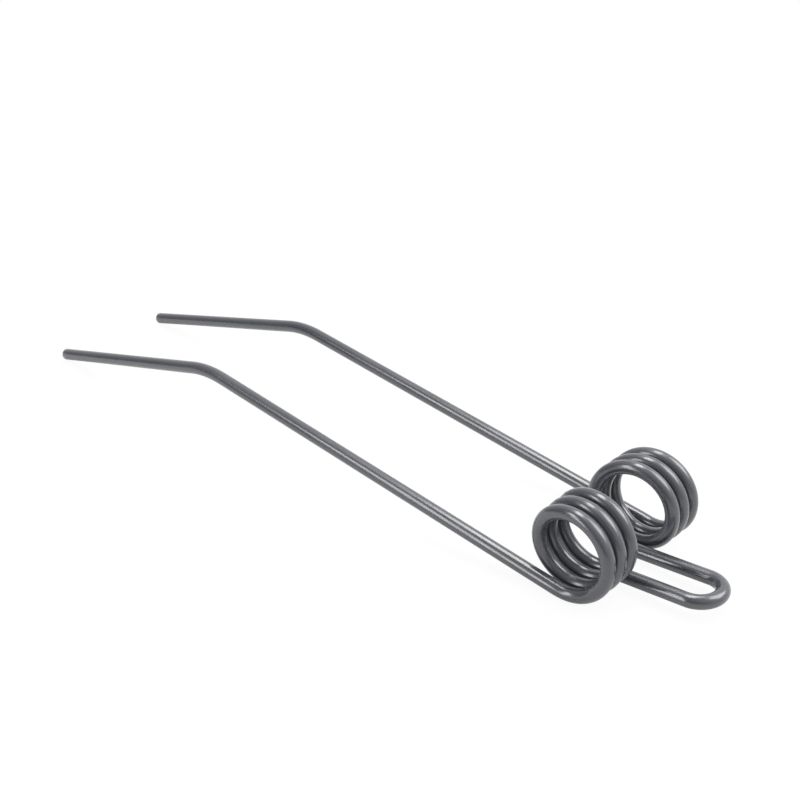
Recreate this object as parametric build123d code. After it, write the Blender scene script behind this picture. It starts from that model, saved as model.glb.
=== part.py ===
# Double torsion spring of the kind that carries a pair of spring tines on a hay tedder
# or a harrow. One round wire makes all of it: a straight tip, a gentle bend, a long arm,
# a coil wound inwards, one leg of the hairpin, half of the hairpin's end, and then the
# mirror image of all that on the other side.
#
# The wire is first laid out with its arms level: X points along the hairpin, the arms run
# back towards -X, Y runs across from coil to coil and Z = 0 is the middle of the arm's
# wire. Then the spring is turned about Y until its coils and both tips lie on one floor,
# and moved so that the origin is midway between the two coils, at the height of the middle
# of their bores.

from build123d import *
import math
import os

# driving dimensions, in mm and degrees
wireDiameter = 8.0
coilMeanDiameter = 46.0
coilTurns = 3
turnPitch = 10.0
coilRunOn = 12.0
coilLean = 2.2
leadRadius = 70.0
hairpinWidth = 25.0
hairpinLegLength = 47.0
armLength = 260.0
tipLength = 152.0
tipBendRadius = 76.0
tipBendAngle = 22.0
tipChamfer = 0.6

# sizes that follow from them
wireRadius = wireDiameter / 2
coilRadius = coilMeanDiameter / 2
coilHeight = turnPitch * (coilTurns + coilRunOn / 360)
coilAxis = Vector(0, -1, 0).rotate(Axis.X, -coilLean)
coilUp = Vector(0, 0, 1).rotate(Axis.X, -coilLean)
towardsArms = Vector(-1, 0, 0)
towardsMiddle = Vector(0, -1, 0)


def run(start, heading, length):
    """Straight stretch of wire."""
    return Line(start, start + heading * length)


def bend(start, heading, newHeading, radius):
    """Arc that leaves start along heading and turns until it runs along newHeading."""
    normal = heading.cross(newHeading)
    plane = Plane(origin=start, x_dir=heading, z_dir=normal)
    return plane * CenterArc((0, radius), radius, -90, heading.get_angle(newHeading))


def coilPath():
    """One coil's helix, from the bottom of its outer turn to where the hairpin leaves."""
    centre = coilUp * coilRadius
    return Plane(origin=centre, x_dir=-coilUp, z_dir=coilAxis) * Helix(turnPitch, coilHeight, coilRadius)


def armPath(coil):
    """From the coil's start out to the tip: a lead off the coil's slope, arm, bend, tip."""
    lead = bend(coil @ 0, -(coil % 0), towardsArms, leadRadius)
    arm = run(lead @ 1, lead % 1, armLength)
    tipBend = bend(arm @ 1, arm % 1, towardsArms.rotate(Axis.Y, -tipBendAngle), tipBendRadius)
    tip = run(tipBend @ 1, tipBend % 1, tipLength)
    return [lead, arm, tipBend, tip]


def hairpinPath(coil):
    """From the coil's end to the middle of the hairpin: a lead, the leg, a quarter circle."""
    ahead = coil % 1
    lead = bend(coil @ 1, ahead, Vector(ahead.X, 0, ahead.Z).normalized(), leadRadius)
    leg = run(lead @ 1, lead % 1, hairpinLegLength)
    quarterTurn = bend(leg @ 1, leg % 1, towardsMiddle, hairpinWidth / 2)
    return [lead, leg, quarterTurn]


def restTilt(tip):
    """Turn about Y, in degrees, that puts the coils and the tips' lower edges on one floor."""
    alongTip = tip % 1
    below = Vector(-alongTip.Z, 0, alongTip.X)
    touch = tip @ 1 - alongTip * tipChamfer + below * wireRadius
    rise = coilRadius - touch.Z
    reach = math.hypot(touch.X, rise)
    return math.degrees(math.acos((coilRadius + wireRadius) / reach) - math.atan2(-touch.X, rise))


def springWire():
    """The whole wire as one solid: half of it swept, mirrored, joined and laid down."""
    coil = coilPath()
    arm = armPath(coil)
    hairpin = hairpinPath(coil)
    tip = arm[-1]
    section = Plane(origin=tip @ 1, z_dir=-(tip % 1)) * Circle(wireRadius)
    half = sweep(section, Wire(arm + [coil] + hairpin))
    half = Pos(0, -(hairpin[-1] @ 1).Y, 0) * half
    wire = half + mirror(half, about=Plane.XZ)
    tipEdges = wire.edges().filter_by(GeomType.CIRCLE).group_by(Axis.X)[0]
    wire = chamfer(tipEdges, tipChamfer)
    boreMiddle = coilUp * coilRadius + coilAxis * (coilHeight / 2)
    return Rot(0, restTilt(tip), 0) * Pos(0, 0, -boreMiddle.Z) * wire


os.makedirs("parts", exist_ok=True)
springPart = springWire()
springPart.label = "spring_wire"
print("spring_wire", springPart.bounding_box(), "volume", round(springPart.volume))
export_step(springPart, "parts/spring_wire.step")
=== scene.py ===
# Double torsion spring: the visible wire, its grey coating, and a plain white studio round it.
# Lengths of the wire and its coating are in millimetres, and those of the studio and camera in metres.
import bpy
import math
import numpy as np
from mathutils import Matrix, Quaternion, Vector


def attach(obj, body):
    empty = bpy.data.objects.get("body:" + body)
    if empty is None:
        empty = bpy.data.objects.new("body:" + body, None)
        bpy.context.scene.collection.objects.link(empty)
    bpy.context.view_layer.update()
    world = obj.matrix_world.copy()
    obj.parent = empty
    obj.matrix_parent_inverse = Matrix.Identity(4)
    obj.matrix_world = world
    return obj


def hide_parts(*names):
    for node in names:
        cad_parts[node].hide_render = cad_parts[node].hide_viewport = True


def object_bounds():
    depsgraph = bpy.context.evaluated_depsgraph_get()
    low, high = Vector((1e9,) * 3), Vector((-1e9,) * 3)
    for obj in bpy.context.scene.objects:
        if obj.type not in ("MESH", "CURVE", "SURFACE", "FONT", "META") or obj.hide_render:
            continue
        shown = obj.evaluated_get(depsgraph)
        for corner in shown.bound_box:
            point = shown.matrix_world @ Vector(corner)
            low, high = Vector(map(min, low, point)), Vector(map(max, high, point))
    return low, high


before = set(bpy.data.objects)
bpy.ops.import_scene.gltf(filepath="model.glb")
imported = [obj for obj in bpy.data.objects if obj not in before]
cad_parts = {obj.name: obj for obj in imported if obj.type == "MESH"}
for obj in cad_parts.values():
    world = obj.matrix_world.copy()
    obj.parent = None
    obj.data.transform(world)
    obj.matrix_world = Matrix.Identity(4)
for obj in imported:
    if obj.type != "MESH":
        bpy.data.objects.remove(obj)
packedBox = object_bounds()
mmPerMetre = 1000
print("frame loaded:", sorted(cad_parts))

# the wire, from its middle line to its skin; each run's number of rings follows its length and curve
springWire = dict(
    wireDiameter=8.0,
    coilMeanDiameter=46.0, coilTurns=3, turnPitch=10.0, coilRunOn=12.0, coilLean=2.2,
    leadRadius=70.0,
    hairpinWidth=25.0, hairpinLegLength=47.0,
    armLength=260.0,
    tipLength=152.0, tipBendRadius=76.0, tipBendAngle=22.0,
    tipChamfer=0.6,
    # the rounded chamfer's section, in chamfers: how far in from the end, how far below the surface
    tipSection=[(0, 1.12), (0.12, 0.88), (0.5, 0.5), (0.88, 0.12), (1.25, 0)],
    coilRings=364, leadRings=8, armRings=40, tipBendRings=22, tipRings=24, legRings=14, hairpinEndRings=28,
    facetsAround=48,
)


def unit(v):
    # the vector divided by its length
    return v / np.linalg.norm(v)


def stop(run):
    # a run is its points and its headings; this is the last point and the heading there
    return run[0][-1], run[1][-1]


def backwards(run):
    # the same points from the other end, with the headings turned round
    return run[0][::-1], -run[1][::-1]


def joined(runs):
    # one run from several; past the first, each leaves out its first point, where the last one stopped
    points = np.concatenate([runs[0][0]] + [run[0][1:] for run in runs[1:]])
    headings = np.concatenate([runs[0][1]] + [run[1][1:] for run in runs[1:]])
    return points, headings


def straight(place, length, rings):
    # point = start + heading * s, with s from 0 to length
    start, heading = place
    s = np.linspace(0, length, rings + 1)[:, None]
    return start + heading * s, np.repeat(heading[None], rings + 1, 0)


def bend(place, newHeading, radius, rings):
    # circle of that radius: point = start + heading * r sin a + side * r (1 - cos a), where side is
    # the part of the new heading that is square to the old one
    start, heading = place
    side = unit(newHeading - heading * (heading @ newHeading))
    a = np.linspace(0, math.acos(heading @ newHeading), rings + 1)[:, None]
    points = start + heading * (radius * np.sin(a)) + side * (radius * (1 - np.cos(a)))
    return points, heading * np.cos(a) + side * np.sin(a)


def coil(part):
    # helix: point = along * R sin a + up * R (1 - cos a) + axis * pitch * a / 2 pi
    lean = math.radians(part["coilLean"])
    radius, rise = part["coilMeanDiameter"] / 2, part["turnPitch"] / (2 * math.pi)
    along = np.array([1.0, 0, 0])
    axis = np.array([0, -math.cos(lean), math.sin(lean)])
    up = np.array([0, math.sin(lean), math.cos(lean)])
    wound = math.radians(360 * part["coilTurns"] + part["coilRunOn"])
    a = np.linspace(0, wound, part["coilRings"] + 1)[:, None]
    points = along * (radius * np.sin(a)) + up * (radius * (1 - np.cos(a))) + axis * (rise * a)
    headings = (along * np.cos(a) + up * np.sin(a)) * radius + axis * rise
    return points, headings / np.linalg.norm(headings, axis=1)[:, None]


def halfLine(part):
    # tip, bend, arm, lead, coil, lead, hairpin leg and half of the hairpin's end. Each run goes on from
    # where the last one stops; those before the coil are laid from it outwards, then turned round
    turns = coil(part)
    toArms, toMiddle, sideways = np.array([[-1.0, 0, 0], [0, -1.0, 0], [0, 1.0, 0]])
    dip = math.radians(part["tipBendAngle"])
    toTip = np.array([-math.cos(dip), 0, -math.sin(dip)])
    toHairpin = unit(turns[1][-1] * [1, 0, 1])
    armLead = bend(stop(backwards(turns)), toArms, part["leadRadius"], part["leadRings"])
    arm = straight(stop(armLead), part["armLength"], part["armRings"])
    tipBend = bend(stop(arm), toTip, part["tipBendRadius"], part["tipBendRings"])
    tip = straight(stop(tipBend), part["tipLength"], part["tipRings"])
    hairpinLead = bend(stop(turns), toHairpin, part["leadRadius"], part["leadRings"])
    leg = straight(stop(hairpinLead), part["hairpinLegLength"], part["legRings"])
    end = bend(stop(leg), toMiddle, part["hairpinWidth"] / 2, part["hairpinEndRings"])
    points, headings = joined([backwards(tip), backwards(tipBend), backwards(arm), backwards(armLead),
                               turns, hairpinLead, leg, end])
    # across = the wire's own sideways direction: Y squared up to the heading. It turns with the
    # hairpin's end, and at the very end, where the heading is along Y, it is the leg's direction
    across = sideways - headings * (headings @ sideways)[:, None]
    across[-1] = leg[1][-1]
    across /= np.linalg.norm(across, axis=1)[:, None]
    points[:, 1] -= points[-1, 1]
    return points, headings, across


def restTurn(part, points, headings):
    # turn about Y that puts the coils' bottoms and the tips' lower edges on one floor, and the height
    # of the bores' middle, which becomes zero
    wireRadius, radius = part["wireDiameter"] / 2, part["coilMeanDiameter"] / 2
    alongTip = -headings[0]
    below = np.array([-alongTip[2], 0, alongTip[0]])
    touch = points[0] - alongTip * part["tipChamfer"] + below * wireRadius
    rise = radius - touch[2]
    tilt = math.acos((radius + wireRadius) / math.hypot(touch[0], rise)) - math.atan2(-touch[0], rise)
    lean = math.radians(part["coilLean"])
    coilHeight = part["turnPitch"] * (part["coilTurns"] + part["coilRunOn"] / 360)
    return tilt, radius * math.cos(lean) + math.sin(lean) * coilHeight / 2


def turned(v, tilt):
    # x' = x cos t + z sin t, z' = z cos t - x sin t
    c, s = math.cos(tilt), math.sin(tilt)
    return np.stack([v[:, 0] * c + v[:, 2] * s, v[:, 1], v[:, 2] * c - v[:, 0] * s], 1)


def wireLine(part):
    # one half, then its mirror image backwards, so that the line runs from tip to tip
    points, headings, across = halfLine(part)
    tilt, middle = restTurn(part, points, headings)
    points = turned(points - [0, 0, middle], tilt)
    headings, across = turned(headings, tilt), turned(across, tilt)
    mirror = np.array([1, -1, 1])
    points = np.concatenate([points, (points * mirror)[:-1][::-1]])
    headings = np.concatenate([headings, (-headings * mirror)[:-1][::-1]])
    across = np.concatenate([across, (across * mirror)[:-1][::-1]])
    return points, headings, across


def wireRings(part):
    # ring i, facet j: point = line + across * r cos b + up * r sin b, with b round the wire. At both
    # tips the rings close in over the rounded chamfer, then to half of the sawn end and to its middle
    points, headings, across = wireLine(part)
    r = part["wireDiameter"] / 2
    inset, below = np.array(part["tipSection"]).T * part["tipChamfer"]
    endInset = np.concatenate([[0, 0], inset])
    endRadius = np.concatenate([[0, r / 2], r - below])
    between = len(points) - 2
    inset = np.concatenate([endInset, np.zeros(between), -endInset[::-1]])
    reach = np.concatenate([endRadius, np.full(between, r), endRadius[::-1]])
    spare = len(endInset) - 1
    ringOf = np.clip(np.arange(-spare, len(points) + spare), 0, len(points) - 1)
    line, heading, side = points[ringOf], headings[ringOf], across[ringOf]
    line = line + heading * inset[:, None]
    up = np.cross(heading, side)
    b = np.arange(part["facetsAround"]) * 2 * math.pi / part["facetsAround"]
    ring = side[:, None] * np.cos(b)[None, :, None] + up[:, None] * np.sin(b)[None, :, None]
    return line, line[:, None] + ring * reach[:, None, None]


def wireMesh(part):
    # a quad joins facet j of ring i to its neighbours at j + 1 and i + 1, and a fan closes each tip; on
    # the wire's own map u is the way round it and v the way along it, both in metres
    line, skin = wireRings(part)
    n, rings = part["facetsAround"], len(line) - 2
    vertices = np.concatenate([skin[1:-1].reshape(-1, 3), line[:1], line[-1:]]) / mmPerMetre
    stepRound, stepAlong = np.array([0, 1, 1, 0]), np.array([0, 0, 1, 1])  # a quad's corners in order
    i, j = np.meshgrid(np.arange(rings - 1), np.arange(n), indexing="ij")
    i, j = i.reshape(-1, 1) + stepAlong, j.reshape(-1, 1) + stepRound
    quads = i * n + j % n
    around = np.arange(n)
    beside = (around + 1) % n
    firstEnd = np.stack([np.full(n, rings * n), beside, around], 1)
    lastEnd = np.stack([np.full(n, rings * n + 1), around, beside], 1)
    lastEnd[:, 1:] += (rings - 1) * n
    mesh = bpy.data.meshes.new("spring_wire_finish")
    mesh.from_pydata(vertices, [], quads.tolist() + firstEnd.tolist() + lastEnd.tolist())
    mesh.update()

    # the fans take one point of the map and are shaded flat, beside the rounded edges
    steps = np.linalg.norm(np.diff(line[1:-1], axis=0), axis=1)
    v = np.concatenate([[0], np.cumsum(steps)]) / mmPerMetre
    u = np.arange(n + 1) * math.pi * part["wireDiameter"] / n / mmPerMetre
    quadMap = np.stack([u[j], v[i]], -1)
    fanMap = np.zeros((2 * n, 3, 2))
    wireMap = mesh.uv_layers.new(name="wireMap")
    wireMap.data.foreach_set("uv", np.concatenate([quadMap.ravel(), fanMap.ravel()]).astype(np.float32))
    smooth = np.ones(len(mesh.polygons), bool)
    smooth[-2 * n:] = False
    mesh.polygons.foreach_set("use_smooth", smooth)
    mesh.update()
    return mesh


wire = bpy.data.objects.new("spring_wire_finish", wireMesh(springWire))
bpy.context.scene.collection.objects.link(wire)
print("wire made:", len(wire.data.polygons), "faces")

# the coating, in millimetres: patches are slow drifts of shade and gloss, streaks are the drawn wire's
# lines under it, and peel is the low ripple of a stoved surface
greyCoating = dict(
    colour=(0.042, 0.0455, 0.0590, 1), colourLight=(0.056, 0.0595, 0.0740, 1),
    roughness=0.21, roughnessDull=0.36, specular=1.0,
    coat=0.9, coatRoughness=0.13,
    patchSize=30, patchDetail=3,
    streakWidth=1.1, streakLength=28, streakDetail=2, streakDepth=0.003,
    peelSize=2.4, peelDetail=2, peelDepth=0.013,
    leastWear=0.75, mostWear=1.25,
)


def noise(tree, vector, scale, detail):
    # soft random lumps from 0 to 1, as many to a unit of the vector as the scale says, with finer ones
    # on them for each step of detail
    texture = tree.nodes.new("ShaderNodeTexNoise")
    texture.inputs["Scale"].default_value = scale
    texture.inputs["Detail"].default_value = detail
    tree.links.new(vector, texture.inputs["Vector"])
    return texture.outputs["Fac"]


def arithmetic(tree, operation, *values):
    # one arithmetic node; each value is a plain number or another node's output
    node = tree.nodes.new("ShaderNodeMath")
    node.operation = operation
    for socket, value in zip(node.inputs, values):
        if isinstance(value, bpy.types.NodeSocket):
            tree.links.new(value, socket)
        else:
            socket.default_value = value
    return node.outputs["Value"]


def coatingMaterial(look):
    # wear = patch noise + streak noise, stretched along the wire on its own map; shade and gloss go from
    # dark and glossy to pale and dull with it; height = peel noise * its depth + streak noise * its depth
    material = bpy.data.materials.new("greyCoating")
    material.use_nodes = True
    tree = material.node_tree
    nodes, links = tree.nodes, tree.links
    shader = nodes["Principled BSDF"]
    shader.inputs["Specular IOR Level"].default_value = look["specular"]
    shader.inputs["Coat Weight"].default_value = look["coat"]
    shader.inputs["Coat Roughness"].default_value = look["coatRoughness"]

    place = nodes.new("ShaderNodeTexCoord").outputs["Object"]
    wireMap = nodes.new("ShaderNodeUVMap")
    wireMap.uv_map = "wireMap"
    stretch = nodes.new("ShaderNodeMapping")
    stretch.inputs["Scale"].default_value = (mmPerMetre / look["streakWidth"],
                                             mmPerMetre / look["streakLength"], 1)
    links.new(wireMap.outputs["UV"], stretch.inputs["Vector"])
    patches = noise(tree, place, mmPerMetre / look["patchSize"], look["patchDetail"])
    streaks = noise(tree, stretch.outputs["Vector"], 1, look["streakDetail"])
    peel = noise(tree, place, mmPerMetre / look["peelSize"], look["peelDetail"])

    amount = nodes.new("ShaderNodeMapRange")
    amount.inputs["From Min"].default_value = look["leastWear"]
    amount.inputs["From Max"].default_value = look["mostWear"]
    links.new(arithmetic(tree, "ADD", patches, streaks), amount.inputs["Value"])
    greys = nodes.new("ShaderNodeMix")
    greys.data_type = "RGBA"
    greys.inputs["A"].default_value = look["colour"]
    greys.inputs["B"].default_value = look["colourLight"]
    links.new(amount.outputs["Result"], greys.inputs["Factor"])
    links.new(greys.outputs["Result"], shader.inputs["Base Color"])
    gloss = nodes.new("ShaderNodeMapRange")
    gloss.inputs["To Min"].default_value = look["roughness"]
    gloss.inputs["To Max"].default_value = look["roughnessDull"]
    links.new(amount.outputs["Result"], gloss.inputs["Value"])
    links.new(gloss.outputs["Result"], shader.inputs["Roughness"])

    height = arithmetic(tree, "MULTIPLY_ADD", streaks, look["streakDepth"] / look["peelDepth"], peel)
    bump = nodes.new("ShaderNodeBump")
    bump.inputs["Distance"].default_value = look["peelDepth"] / mmPerMetre
    links.new(height, bump.inputs["Height"])
    links.new(bump.outputs["Normal"], shader.inputs["Normal"])
    links.new(bump.outputs["Normal"], shader.inputs["Coat Normal"])
    return material


wire.data.materials.append(coatingMaterial(greyCoating))
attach(wire, "root")
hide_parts("spring_wire")
print("coating made")

# the studio, in metres and degrees: a floor that is seen as white, a room that is nearly white on the
# far side and dim on the near one, and three soft lamps
studio = dict(
    floorSize=1.5, floorColour=(0.56, 0.56, 0.56, 1), seenWhite=1.06,
    liftSeen=0.88, liftMirrored=0.30,
    dimRoom=0.17, whiteRoom=0.9, whiteSide=(0.30, 0.85, 0.43),
)
lamps = [
    dict(name="topSoftbox", azimuth=148, elevation=72, roll=32, distance=1.3, size=(0.92, 0.36),
         brightness=6.0),
    dict(name="frontLeftStrip", azimuth=-118, elevation=21, roll=30, distance=1.3, size=(0.30, 1.08),
         brightness=4.9),
    dict(name="backRightSoftbox", azimuth=45, elevation=50, roll=0, distance=1.3, size=(0.95, 0.95),
         brightness=3.6),
]


def floorMaterial(look):
    # surface = matt grey * (1 - lift) + plain white * lift; the lift is nearly whole where the floor is
    # seen straight, so that a little shadow stays, and part of the way where the coating mirrors it
    material = bpy.data.materials.new("whiteFloor")
    material.use_nodes = True
    tree = material.node_tree
    nodes, links = tree.nodes, tree.links
    shader = nodes["Principled BSDF"]
    shader.inputs["Base Color"].default_value = look["floorColour"]
    shader.inputs["Roughness"].default_value = 1.0
    shader.inputs["Specular IOR Level"].default_value = 0.0
    path = nodes.new("ShaderNodeLightPath").outputs
    seen = arithmetic(tree, "MAXIMUM", path["Is Camera Ray"], path["Is Transmission Ray"])
    seenLift = arithmetic(tree, "MULTIPLY", seen, look["liftSeen"])
    mirroredLift = arithmetic(tree, "MULTIPLY", path["Is Glossy Ray"], look["liftMirrored"])
    lift = arithmetic(tree, "MAXIMUM", seenLift, mirroredLift)
    white = nodes.new("ShaderNodeEmission")
    white.inputs["Strength"].default_value = look["seenWhite"]
    lifted = nodes.new("ShaderNodeMixShader")
    links.new(lift, lifted.inputs["Fac"])
    links.new(shader.outputs["BSDF"], lifted.inputs[1])
    links.new(white.outputs["Emission"], lifted.inputs[2])
    links.new(lifted.outputs["Shader"], nodes["Material Output"].inputs["Surface"])
    return material


floorZ = packedBox[0][2]
reach = studio["floorSize"] / 2
floorMesh = bpy.data.meshes.new("floor")
corners = [(x * reach, y * reach, floorZ) for x, y in ((-1, -1), (1, -1), (1, 1), (-1, 1))]
floorMesh.from_pydata(corners, [], [(0, 1, 2, 3)])
floor = bpy.data.objects.new("floor", floorMesh)
bpy.context.scene.collection.objects.link(floor)
floor.data.materials.append(floorMaterial(studio))


def studioWorld(look):
    # strength = dimRoom to whiteRoom, rising smoothly as a ray turns from away from the white side to
    # towards it; this lights the object and is mirrored in it, and what is seen straight is plain white
    world = bpy.data.worlds.new("studioWorld")
    world.use_nodes = True
    tree = world.node_tree
    nodes, links = tree.nodes, tree.links
    room = nodes["Background"]
    facing = nodes.new("ShaderNodeVectorMath")
    facing.operation = "DOT_PRODUCT"
    facing.inputs[1].default_value = look["whiteSide"]
    links.new(nodes.new("ShaderNodeTexCoord").outputs["Generated"], facing.inputs[0])
    level = nodes.new("ShaderNodeMapRange")
    level.interpolation_type = "SMOOTHSTEP"
    level.inputs["From Min"].default_value = -1.0
    level.inputs["From Max"].default_value = 1.0
    level.inputs["To Min"].default_value = look["dimRoom"]
    level.inputs["To Max"].default_value = look["whiteRoom"]
    links.new(facing.outputs["Value"], level.inputs["Value"])
    room.inputs["Color"].default_value = (1, 1, 1, 1)
    links.new(level.outputs["Result"], room.inputs["Strength"])
    white = nodes.new("ShaderNodeBackground")
    white.inputs["Color"].default_value = (1, 1, 1, 1)
    path = nodes.new("ShaderNodeLightPath").outputs
    seen = arithmetic(tree, "MAXIMUM", path["Is Camera Ray"], path["Is Transmission Ray"])
    choose = nodes.new("ShaderNodeMixShader")
    links.new(seen, choose.inputs["Fac"])
    links.new(room.outputs["Background"], choose.inputs[1])
    links.new(white.outputs["Background"], choose.inputs[2])
    links.new(choose.outputs["Shader"], nodes["World Output"].inputs["Surface"])
    return world


def addLamp(lamp):
    # it stands at distance * (cos e cos a, cos e sin a, sin e), for azimuth a and elevation e, and faces
    # the origin; an area lamp looks as bright as its power / (pi * its area)
    light = bpy.data.lights.new(lamp["name"], "AREA")
    light.shape = "RECTANGLE"
    light.size, light.size_y = lamp["size"]
    light.energy = lamp["brightness"] * math.pi * lamp["size"][0] * lamp["size"][1]
    a, e = math.radians(lamp["azimuth"]), math.radians(lamp["elevation"])
    towards = Vector((math.cos(e) * math.cos(a), math.cos(e) * math.sin(a), math.sin(e)))
    facing = towards.to_track_quat("Z", "Y") @ Quaternion((0, 0, 1), math.radians(lamp["roll"]))
    lampObject = bpy.data.objects.new(lamp["name"], light)
    lampObject.location = towards * lamp["distance"]
    lampObject.rotation_euler = facing.to_euler()
    bpy.context.scene.collection.objects.link(lampObject)


bpy.context.scene.world = studioWorld(studio)
for lamp in lamps:
    addLamp(lamp)
print("studio made")

# the camera, in metres, degrees and, for its lens, millimetres
view = dict(
    at=(0.2797, -0.4855, 0.3622), aim=(-0.1055, -0.0532, 0.0579), roll=-0.37,
    lens=54.95, nearest=0.01,
)
camera = bpy.data.objects.new("camera", bpy.data.cameras.new("camera"))
camera.data.lens = view["lens"]
camera.data.clip_start = view["nearest"]
camera.location = view["at"]
looking = (Vector(view["aim"]) - Vector(view["at"])).to_track_quat("-Z", "Y")
camera.rotation_euler = (looking @ Quaternion((0, 0, 1), math.radians(view["roll"]))).to_euler()
bpy.context.scene.collection.objects.link(camera)
bpy.context.scene.camera = camera
bpy.context.scene.view_settings.view_transform = "Standard"

print("done")
